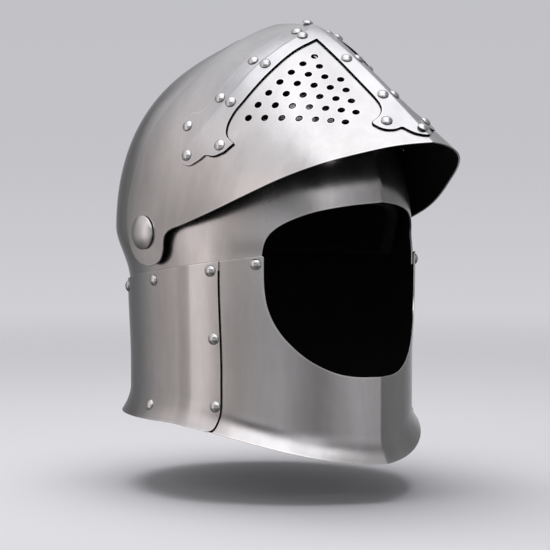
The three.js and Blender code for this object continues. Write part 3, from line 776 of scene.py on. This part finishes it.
def dome_profile(radius, height, lip, shank_r, shank, lift, rings=9):
    """Profile from the shank's end up to the head's middle, (radius, height above the surface)."""
    sphere = (radius ** 2 + (height - lip) ** 2) / (2 * (height - lip))
    end = lift - shank
    profile = [(0, end), (shank_r * 0.8, end), (shank_r, end + 0.3), (shank_r, lift),
               (radius * 0.985, lift), (radius, lift + lip * 0.35), (radius * 0.995, lift + lip * 0.8)]
    for k in range(1, rings):
        r = radius * math.cos(math.pi / 2 * k / rings)
        rise = math.sqrt(max(0, sphere ** 2 - r * r)) - (sphere - (height - lip))
        profile.append((r * 0.985, lift + lip + rise))
    profile.append((0, lift + height))
    return profile


def rivet(name, body, centre, normal, lift, shank):
    profile = dome_profile(RIVET_R, RIVET_H, 0.5, SHANK_R, shank, lift)
    turned(name, body, profile, 28, centre, normal, RIVET_STEEL)


ARM_RIVETS = [[-48.2, 308.5], [-43.4, 286.4], [-37.2, 259.4], [-56.4, 305.2], [-54.2, 283.9], [-47, 256.3],
              [-19.9, 239.5], [-27.9, 218.6], [-52.5, 225.4]]
SPINE_RIVETS = [[5.3, 287.5], [5, 260.5], [18.2, 241.3]]
PLATE_RIVETS = [[62.9, 137.2, 1.8], [61.9, 88.9, 1.8], [61.4, 40.7, 1.8], [92.6, 129, 0], [96, 37.5, 0],
                [123.5, 121.8, 0], [45.3, 142.3, 0]]
STRAP_SEAT = (GAP + STRAP_THICK + 0.1, 3.6)       # a rivet's height over the visor, and its shank's length
PLATE_SEAT = (0.05, 3.1)


def ridge_frame(turn, lean):
    reach = float(ridge_reach(np.array([float(turn)]))[0])
    c, s = math.cos(math.radians(turn)), math.sin(math.radians(turn))
    centre = np.array([0.0, PIVOT_Y - reach * c, PIVOT_Z + reach * s])
    return centre, np.array([0.0, -math.cos(math.radians(lean)), math.sin(math.radians(lean))])


def plate_frame(angle, height, offset, side):
    """Place and outward direction of a rivet on the neck plates."""
    def at(a, h):
        return neck_point(np.array([math.radians(a) * side]), np.array([float(h)]), offset)[0]
    centre, normal = frame_of(at, angle, height)
    return centre, normal if normal[:2] @ centre[:2] > 0 else -normal


for side, tag in ((-1, "right"), (1, "left")):
    for i, (y, z) in enumerate(ARM_RIVETS):
        centre, normal = frame_of(lambda a, b: visor_at(a, b, side), y, z)
        rivet(f"strap_rivet_{tag}_{i + 1}", "visor_unit", centre, normal, *STRAP_SEAT)
    for i, (x, z) in enumerate(SPINE_RIVETS):
        centre, normal = frame_of(lambda a, b: visor_front(a, b, side), x, z)
        rivet(f"spine_rivet_{tag}_{i + 1}", "visor_unit", centre, normal, *STRAP_SEAT)
    for i, (angle, z, offset) in enumerate(PLATE_RIVETS):
        centre, normal = plate_frame(angle, z, offset, side)
        rivet(f"plate_rivet_{tag}_{i + 1}", "helmet", centre, normal, *PLATE_SEAT)
rivet("apex_rivet", "visor_unit", *ridge_frame(APEX_TURN + 1.5, APEX_TURN + 5), *STRAP_SEAT)
rivet("tip_rivet", "visor_unit", *ridge_frame(22.8, 56), *STRAP_SEAT)

for side, tag in ((-1, "right"), (1, "left")):
    profile = dome_profile(PIVOT_R, PIVOT_H, 1.3, PIVOT_SHANK_R, 13.5, 0.45, rings=14)
    centre = (side * VISOR_W, PIVOT_Y, PIVOT_Z)
    turned(f"pivot_bolt_{tag}", "helmet", profile, 72, centre, (side, 0, 0), PIVOT_STEEL)
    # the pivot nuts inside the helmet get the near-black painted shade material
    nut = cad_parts[f"pivot_nut_{tag}"]
    nut.data.materials.clear()
    nut.data.materials.append(PAINTED_SHADE_BLACK)


# ---- padded lining
QUILT_PUFF = 2.2                 # how far the quilted channels stand proud
LINER_DROP = 16                  # how far the lining hangs below the pivots


def liner_surface(a, b, offset):
    """b is the lift in degrees, or from 0 to -1 down the hanging part; offset picks the face."""
    lift = np.radians(np.maximum(b, 0))
    drop = np.maximum(-b, 0) * LINER_DROP
    inward = 1 - 0.015 * np.clip(-b, 0, 1)
    squeeze = np.stack([inward, inward, 1 + 0 * inward], -1)
    outer = dome_point(a, lift, -SHEET - LINER_GAP) * squeeze
    outer[..., 2] = outer[..., 2] - drop
    middle = np.array([0.0, DOME_Y * 0.5, PIVOT_Z])
    inner = dome_point(a, lift, -SHEET - LINER_GAP - LINER_THICK) * squeeze
    inner[..., 2] = inner[..., 2] - drop
    puff = QUILT_PUFF * np.sqrt(np.abs(np.cos(a * 8))) * smooth((85 - b) / 20)
    r = inner - middle
    r = r * (1 + (QUILT_PUFF - puff)[..., None] / (np.linalg.norm(r, axis=-1)[..., None] + 1e-9))
    return mix(outer, middle + r, -offset / LINER_THICK)


b_liner = np.append(joined((-1, 0, 10), (0, 84, 70)), [86, 88, 89.3])
phi_liner = np.radians(np.linspace(-180, 180, 337))
points, _, faces, _, _ = cut_sheet(liner_surface, phi_liner, b_liner, opening_field, 0.0, -LINER_THICK, 3.5,
                                   wrap=True, crown=True)
liner = make_piece("padded_lining", points, None, faces, [LINER])
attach(liner, "helmet")
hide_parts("liner")


# ---- floor, light and camera
FLOOR_Z, FLOOR_R = -0.0285, 3.8


def floor_material():
    material, tree, shader = new_material("pale_floor")
    out = tree.nodes["Material Output"]
    shader.inputs["Base Color"].default_value = (0.70, 0.695, 0.72, 1)
    shader.inputs["Roughness"].default_value = 0.9
    shader.inputs["Specular IOR Level"].default_value = 0.1
    clear = tree.nodes.new("ShaderNodeBsdfTransparent")
    blend = tree.nodes.new("ShaderNodeMixShader")
    spot = tree.nodes.new("ShaderNodeTexCoord")
    away = tree.nodes.new("ShaderNodeVectorMath")
    away.operation = "LENGTH"
    tree.links.new(spot.outputs["Object"], away.inputs[0])
    fade = tree.nodes.new("ShaderNodeMapRange")
    fade.interpolation_type = "SMOOTHSTEP"
    for key, number in (("From Min", 0.4), ("From Max", 2.0), ("To Min", 0.0), ("To Max", 1.0)):
        fade.inputs[key].default_value = number
    tree.links.new(away.outputs["Value"], fade.inputs["Value"])
    tree.links.new(fade.outputs[0], blend.inputs[0])
    tree.links.new(shader.outputs[0], blend.inputs[1])
    tree.links.new(clear.outputs[0], blend.inputs[2])
    tree.links.new(blend.outputs[0], out.inputs[0])
    return material


def lay_floor():
    mesh = bpy.data.meshes.new("floor")
    turns = [2 * math.pi * i / 96 for i in range(96)]
    mesh.from_pydata([(FLOOR_R * math.cos(t), FLOOR_R * math.sin(t), FLOOR_Z) for t in turns], [],
                     [tuple(range(96))])
    mesh.materials.append(floor_material())
    floor = bpy.data.objects.new("floor", mesh)
    floor.visible_glossy = False
    bpy.context.scene.collection.objects.link(floor)


SKY = [(0.44, (0.68, 0.68, 0.71, 1)), (0.505, (0.55, 0.55, 0.58, 1)),
       (0.56, (0.53, 0.53, 0.555, 1)), (0.75, (0.30, 0.30, 0.31, 1))]


def studio_world():
    """A pale backdrop that darkens slowly upwards."""
    world = bpy.data.worlds.new("studio")
    bpy.context.scene.world = world
    world.use_nodes = True
    tree = world.node_tree
    background = tree.nodes["Background"]
    direction = tree.nodes.new("ShaderNodeTexCoord")
    split = tree.nodes.new("ShaderNodeSeparateXYZ")
    tree.links.new(direction.outputs["Generated"], split.inputs[0])
    height = tree.nodes.new("ShaderNodeMapRange")
    height.inputs["From Min"].default_value = -1.0
    tree.links.new(split.outputs["Z"], height.inputs["Value"])
    ramp = tree.nodes.new("ShaderNodeValToRGB")
    tree.links.new(height.outputs[0], ramp.inputs[0])
    stops = ramp.color_ramp.elements
    for stop, (position, colour) in zip([stops[0], stops[1]], SKY):
        stop.position = position
        stop.color = colour
    for position, colour in SKY[2:]:
        stops.new(position).color = colour
    tree.links.new(ramp.outputs[0], background.inputs["Color"])
    background.inputs["Strength"].default_value = 1.0


def softbox(name, azimuth, elevation, distance, width, tall, power):
    """A soft rectangular light that the steel doesn't mirror; azimuth 0 is ahead, -90 the right."""
    a, e = math.radians(azimuth), math.radians(elevation)
    away = Vector((math.sin(a) * math.cos(e), -math.cos(a) * math.cos(e), math.sin(e)))
    light = bpy.data.lights.new(name, "AREA")
    light.shape = "RECTANGLE"
    light.size, light.size_y = width, tall
    light.energy = power
    made = bpy.data.objects.new(name, light)
    made.location = Vector((0, -0.02, 0.16)) + away * distance
    made.rotation_euler = away.to_track_quat("Z", "Y").to_euler()
    made.visible_glossy = False
    bpy.context.scene.collection.objects.link(made)


def bell(value, centre, spread):
    """A smooth hump, 1 at its centre; angles in degrees."""
    apart = (value - centre + 180) % 360 - 180
    return math.exp(-0.5 * (apart / spread) ** 2)


def ease(value, low, high):
    t = min(1.0, max(0.0, (value - low) / (high - low)))
    return t * t * (3 - 2 * t)


def studio_glow(azimuth, elevation):
    """Brightness of the white tent round the helmet, as its steel sees it."""
    behind = bell(azimuth, 180, 22)
    level = 1 - ease(elevation, 6, 17)
    low = (0.24 + 0.8 * bell(azimuth, -100, 9) + 0.36 * bell(azimuth, -128, 24)
           + 0.39 * bell(azimuth, -1, 14) + 0.2 * bell(azimuth, 143, 12) - 0.1 * behind
           + 0.25 * level * bell(azimuth, 124, 7) - 0.2 * level * bell(azimuth, -24, 6)
           + (0.42 * level - 0.06) * bell(azimuth, -56, 27))
    front = bell(azimuth, -22, 32)
    right = ease(azimuth, 40, 90)
    rise = ease(elevation, 6 + 26 * front + 6 * right + 8 * behind, 33 + 10 * front + 4 * right + 14 * behind)
    side = 0.92 + 0.45 * bell(azimuth, -98, 9) - 0.6 * bell(azimuth, 62, 30)
    glow = low + (side - low) * rise
    glow *= 1 - 0.45 * bell(azimuth, 12, 18) * bell(elevation, 22, 8)
    glow += 1.15 * bell(azimuth, -24, 5) * bell(elevation, 20, 8)
    box = ease(azimuth, -84, -66) * (1 - ease(azimuth, -4, 8)) * ease(elevation, 22, 38)
    glow += (2.05 - glow) * box
    glow += (2.0 - glow) * ease(elevation, 57, 64)
    glow *= 0.3 + 0.7 * ease(elevation, -32, -8)
    warm = ease(azimuth, -170, -140) * (1 - ease(azimuth, -80, -50)) * (1 - ease(elevation, 30, 60))
    return glow * (1 + 0.04 * warm), glow * (1.005 - 0.03 * warm), glow * (1.055 - 0.07 * warm), 1.0


def studio_tent():
    """A tent of soft light that only the steel reflects."""
    rows, turns, far = 60, 144, 3.2
    points, glow, faces = [], [], []
    for i in range(rows + 1):
        e = math.radians(-90 + 180 * i / rows)
        for j in range(turns):
            a = 2 * math.pi * j / turns
            level, up = far * math.cos(e), far * math.sin(e)
            points.append((level * math.sin(a), -level * math.cos(a), up))
            glow.append(studio_glow((math.degrees(a) + 180) % 360 - 180, math.degrees(e)))
    for i in range(rows):
        for j in range(turns):
            k = (j + 1) % turns
            faces.append((i * turns + j, i * turns + k, (i + 1) * turns + k, (i + 1) * turns + j))
    data = bpy.data.meshes.new("studio_tent")
    data.from_pydata(points, [], faces)
    layer = data.attributes.new("glow", "FLOAT_COLOR", "POINT")
    layer.data.foreach_set("color", np.array(glow, dtype=np.float32).ravel())
    material = bpy.data.materials.new("studio_tent")
    material.use_nodes = True
    tree = material.node_tree
    tree.nodes.clear()
    out = tree.nodes.new("ShaderNodeOutputMaterial")
    shine = tree.nodes.new("ShaderNodeEmission")
    reader = tree.nodes.new("ShaderNodeAttribute")
    reader.attribute_name = "glow"
    tree.links.new(reader.outputs["Color"], shine.inputs["Color"])
    tree.links.new(shine.outputs[0], out.inputs[0])
    material.cycles.emission_sampling = "NONE"
    data.materials.append(material)
    made = bpy.data.objects.new("studio_tent", data)
    made.location = (0, 0, 0.16)
    made.visible_camera = False
    made.visible_diffuse = False
    made.visible_shadow = False
    made.visible_transmission = False
    bpy.context.scene.collection.objects.link(made)


LENS = 123.70909                 # mm, on a sensor 36 mm wide
AIM_TURN, AIM_RISE = math.radians(40), math.radians(2.8)
AIM_RIGHT, AIM_HEIGHT, AIM_AWAY = 0.00342, 0.1295, 1.4364


def place_camera():
    """The camera stands ahead of the helmet's right cheek, a little above level."""
    camera = bpy.data.cameras.new("camera")
    camera.sensor_width = 36.0
    camera.lens = LENS
    level = math.cos(AIM_RISE)
    right = Vector((math.cos(AIM_TURN), -math.sin(AIM_TURN), 0))
    back = Vector((-math.sin(AIM_TURN) * level, -math.cos(AIM_TURN) * level, math.sin(AIM_RISE)))
    eye = right * AIM_RIGHT + Vector((0, 0, AIM_HEIGHT)) + back * AIM_AWAY
    view = bpy.data.objects.new("camera", camera)
    turned_to = Matrix((right, back.cross(right), back)).transposed()
    view.matrix_world = Matrix.Translation(eye) @ turned_to.to_4x4()
    bpy.context.scene.collection.objects.link(view)
    bpy.context.scene.camera = view


lay_floor()
studio_world()
studio_tent()
softbox("overhead", -128, 87.5, 1.5, 1.25, 1.25, 23)
softbox("left_fill", -100, 30, 1.6, 1.2, 1.0, 2.5)
place_camera()
bpy.context.scene.view_settings.view_transform = "Standard"
